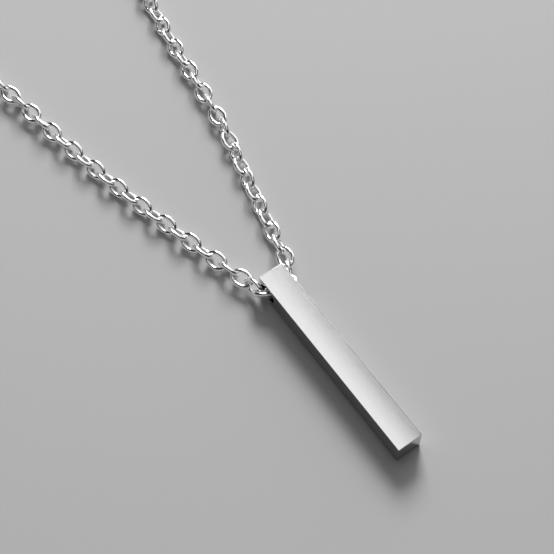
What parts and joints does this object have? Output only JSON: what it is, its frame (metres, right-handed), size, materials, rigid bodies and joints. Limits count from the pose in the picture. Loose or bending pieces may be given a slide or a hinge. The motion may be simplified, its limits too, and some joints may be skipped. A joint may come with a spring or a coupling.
{
  "type": "bar pendant on a cable chain",
  "caption": "Slim square metal bar pendant, cross-drilled near its top end and threaded on a closed loop of oval cable chain with a barrel clasp, laid flat.",
  "frame": {"origin": "on the bar's back face, the face it rests on, under the middle of the chain hole", "axes": "+Y along the bar from its lower end through the chain hole and on along the chain loop to the clasp, +X to the wearer's left, +Z out of the bar's front face"},
  "size_m": [0.0813, 0.2623, 0.005],
  "materials": {
    "bar_metal": "polished sides, soft satin front",
    "chain_metal": "polished round wire",
    "clasp_metal": "polished"
  },
  "bodies": {
    "root": {"bar": "bar_metal", "chain_left": "chain_metal", "chain_right": "chain_metal", "clasp": "clasp_metal"}
  },
  "joints": []
}
